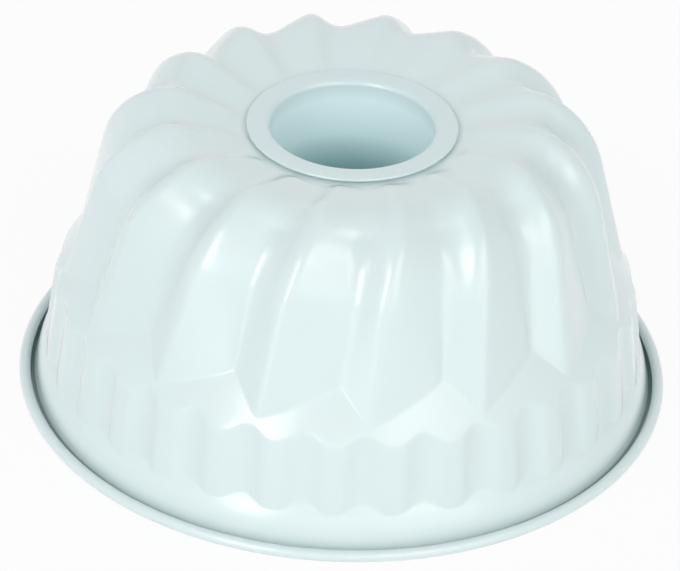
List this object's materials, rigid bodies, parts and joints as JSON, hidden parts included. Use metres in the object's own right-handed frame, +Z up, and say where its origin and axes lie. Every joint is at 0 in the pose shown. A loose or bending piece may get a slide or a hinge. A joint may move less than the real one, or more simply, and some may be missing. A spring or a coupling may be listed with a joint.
{
  "type": "fluted tube pan",
  "caption": "Mini ring-cake baking pan with swirled flutes, a stepped ledge over a grooved band, a rolled rim and a flanged centre tube, standing upside down on its rim.",
  "frame": {"origin": "centre of the rim on the surface that the upside-down pan stands on", "axes": "+Z up along the centre tube towards the crown, -Y towards the front of the picture, +X to its right"},
  "size_m": [0.16, 0.16, 0.075],
  "materials": {
    "coated_shell": "satin-gloss pale aqua non-stick coating on drawn sheet steel",
    "coated_tube": "satin pale aqua non-stick coating on spun sheet steel",
    "wire_steel": "plain drawn steel wire"
  },
  "bodies": {
    "root": {"fluted_shell": "coated_shell", "centre_tube": "coated_tube", "rim_wire": "wire_steel"}
  },
  "joints": []
}
